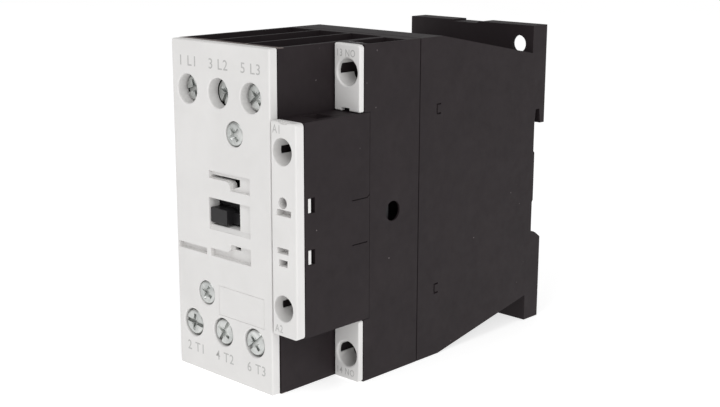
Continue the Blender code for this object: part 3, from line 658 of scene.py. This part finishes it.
TURNS = {"l1": 20, "l2": 62, "l3": 40, "t1": -8, "t2": 58, "t3": 40}
for i, px in enumerate(POLE_X):
    for label, s, top in (("l", 1, (-91.2, -90.7, -91.6)[i]), ("t", -1, -93.3)):
        name = f"{label}{i + 1}"
        terminal_screw(name, px, s * POLE_Z, 3.3, 2.8, 2.45, 10.8, top, 0.8, TURNS[name], True)
        from_cad(f"clamp_{name}", ZINC, 0.18)
for name, s in (("aux_13", 1), ("aux_14", -1)):
    terminal_screw(name, AUX_X, s * AUX_Z, 2.75, 2.0, 1.7, 6.6, -65.0, 0.6, 30 * s, True)
    from_cad(f"clamp_{name}", ZINC, 0.14)
for name, s in (("coil_a1", 1), ("coil_a2", -1)):
    terminal_screw(name, COIL_X, s * COIL_Z, 2.75, 2.0, 1.7, 7.0, -83.1, 0.6, 55 * s, True)
    from_cad(f"clamp_{name}", ZINC, 0.14)
for (name, turn), (x, z) in zip((("cover_screw_upper", 38), ("cover_screw_lower", -30)), COVER_SCREWS):
    profile = [(0, -93.45), (2.2, -93.45), (2.72, -93.38), (2.95, -93.15), (3.0, -92.9), (3.0, -92.0), (1.6, -92.0)]
    profile += threaded(1.6, 0.7, -91.0, -64.2) + [(1.2, -63.6), (0.5, -62.4), (0, -62.4)]
    piece(name + "_fine", ZINC, "housing", name, turned(x, z, profile, 44), (), drive_recess(x, z, -93.45, 2.0, 0.95, 0.85, turn), 0.05, 2)

# ------------------------------------------------------------------- springs
for i, px in enumerate(POLE_X):
    k = i + 1
    obj = piece(f"contact_spring_{k}_fine", STEEL, "carrier", f"contact_spring_{k}", helix(px, 0, 2.2, 0.6, -88.3, -80.95, 5), bevel=0)
    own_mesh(obj)
obj = piece("contact_spring_aux_fine", STEEL, "carrier", "contact_spring_aux", helix(17.95, 0, 1.3, 0.35, -66.2, -62.65, 4), bevel=0)
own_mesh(obj)
for name, s in (("return_spring_right", 1), ("return_spring_left", -1)):
    obj = piece(name + "_fine", STEEL, "housing", name, helix(s * 13.6, 0, 2.6, 0.6, -48.4, -37.9, 6), bevel=0)
    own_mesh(obj)

# ------------------------------------------------------------- inner pieces
for node in frame["nodes"]:
    if frame["nodes"][node].hide_render:
        continue
    if node.startswith(("fixed_contact", "contact_bridge", "shading_ring")):
        from_cad(node, COPPER, 0.12)
    elif node.startswith("coil_lead"):
        from_cad(node, BRASS, 0.08)
    elif node in ("fixed_core", "moving_armature"):
        from_cad(node, CORE, 0.15)
    elif node == "armature_pin":
        from_cad(node, ZINC, 0.20)
    elif node == "contact_carrier":
        from_cad(node, CARRIER, 0.18)
    elif node == "coil_bobbin":
        from_cad(node, BOBBIN, 0.20)
    elif node == "core_buffer":
        from_cad(node, RUBBER, 0.25)
    elif node == "coil_winding":
        from_cad(node, WIRE, 0.0)
    elif node == "rail_latch_spring":
        from_cad(node, STEEL, 0.10)


# ------------------------------------------------------------ printed marks
def mark(name, text, x, z, size, front, squeeze=0.82, weight=0.018):
    curve = bpy.data.curves.new(name, "FONT")
    curve.body = text
    curve.size = size * MM
    curve.align_x = "LEFT"
    curve.align_y = "BOTTOM_BASELINE"
    curve.extrude = 0.004 * MM
    curve.resolution_u = 3
    curve.space_character = 1.12
    curve.offset = weight * MM
    obj = bpy.data.objects.new(name, curve)
    SCENE.collection.objects.link(obj)
    obj.matrix_world = Matrix(((squeeze, 0, 0, x * MM), (0, 0, -1, (front - 0.006) * MM), (0, 1, 0, z * MM), (0, 0, 0, 1)))
    bpy.context.view_layer.update()
    mesh = bpy.data.meshes.new_from_object(obj.evaluated_get(bpy.context.evaluated_depsgraph_get()))
    mesh.transform(obj.matrix_world)
    bpy.data.objects.remove(obj, do_unlink=True)
    obj = bpy.data.objects.new(name, mesh)
    SCENE.collection.objects.link(obj)
    mesh.materials.clear()
    mesh.materials.append(INK)
    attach(obj, "housing")
    return obj


for label, text, x, z in (
    ("l1", "1 L1", -19.9, 36.4), ("l2", "3 L2", -8.4, 36.4), ("l3", "5 L3", 3.4, 36.4),
    ("t1", "2 T1", -19.4, -38.35), ("t2", "4 T2", -8.1, -38.35), ("t3", "6 T3", 4.0, -38.35),
):
    mark(f"mark_{label}", text, x, z, 3.6, COVER_Y, 1.04 if label[0] == "l" else 0.95)
mark("mark_a1", "A1", 14.6, 23.45, 2.9, STRIP_Y)
mark("mark_a2", "A2", 14.8, -25.3, 2.7, STRIP_Y)
mark("mark_13", "13 NO", 14.6, 39.7, 2.5, AUX_Y)
mark("mark_14", "14 NO", 14.6, -41.6, 2.5, AUX_Y)

# ------------------------------------------------------- floor, light, camera
floor_mesh = bpy.data.meshes.new("floor")
floor_mesh.from_pydata([(-4, -4, -0.0429), (4, -4, -0.0429), (4, 4, -0.0429), (-4, 4, -0.0429)], [], [(0, 1, 2, 3)])
floor = bpy.data.objects.new("floor", floor_mesh)
SCENE.collection.objects.link(floor)
FLOOR, tree, bsdf = nodes_of("pale_floor")
coord = add(tree, "ShaderNodeTexCoord").outputs["Object"]
tone = ramp(tree, noise(tree, coord, 3.0), [(0.2, (0.62, 0.62, 0.62)), (0.8, (0.64, 0.64, 0.64))])
tree.links.new(tone, bsdf.inputs["Base Color"])
tree.links.new(tone, bsdf.inputs["Emission Color"])
bsdf.inputs["Emission Strength"].default_value = 1.05
bsdf.inputs["Roughness"].default_value = 0.9
bsdf.inputs["Specular IOR Level"].default_value = 0.0
floor_mesh.materials.append(FLOOR)

world = bpy.data.worlds.new("studio")
world.use_nodes = True
world.node_tree.nodes["Background"].inputs["Color"].default_value = (1, 1, 1, 1)
world.node_tree.nodes["Background"].inputs["Strength"].default_value = 0.50
SCENE.world = world


def area(name, at, target, size, watts, size_y=None):
    light = bpy.data.lights.new(name, "AREA")
    light.shape = "RECTANGLE" if size_y else "SQUARE"
    light.size = size
    if size_y:
        light.size_y = size_y
    light.energy = watts
    obj = bpy.data.objects.new(name, light)
    SCENE.collection.objects.link(obj)
    obj.location = at
    obj.rotation_euler = (Vector(target) - Vector(at)).to_track_quat("-Z", "Y").to_euler()
    return obj


area("soft_right", (0.95, -0.38, 0.36), (0, -0.05, 0), 0.8, 3.9)
area("soft_front", (0.10, -0.78, 0.86), (0, -0.05, 0), 0.5, 2.6)

camera = bpy.data.objects.new("camera", bpy.data.cameras.new("camera"))
SCENE.collection.objects.link(camera)
camera.data.sensor_width = 36.0
camera.data.lens = 62.687
camera.data.clip_start = 0.01
r0 = Vector((0.7250185, 0.6887210, 0.0033855))
r1 = Vector((0.1612768, -0.1649935, -0.9730195))
r2 = Vector((-0.6695804, 0.7060032, -0.2306981))
rotation = Matrix((r0, -r1, -r2)).transposed()
camera.matrix_world = Matrix.Translation((0.2282205, -0.2891551, 0.0749014)) @ rotation.to_4x4()
SCENE.camera = camera
SCENE.view_settings.view_transform = "Standard"
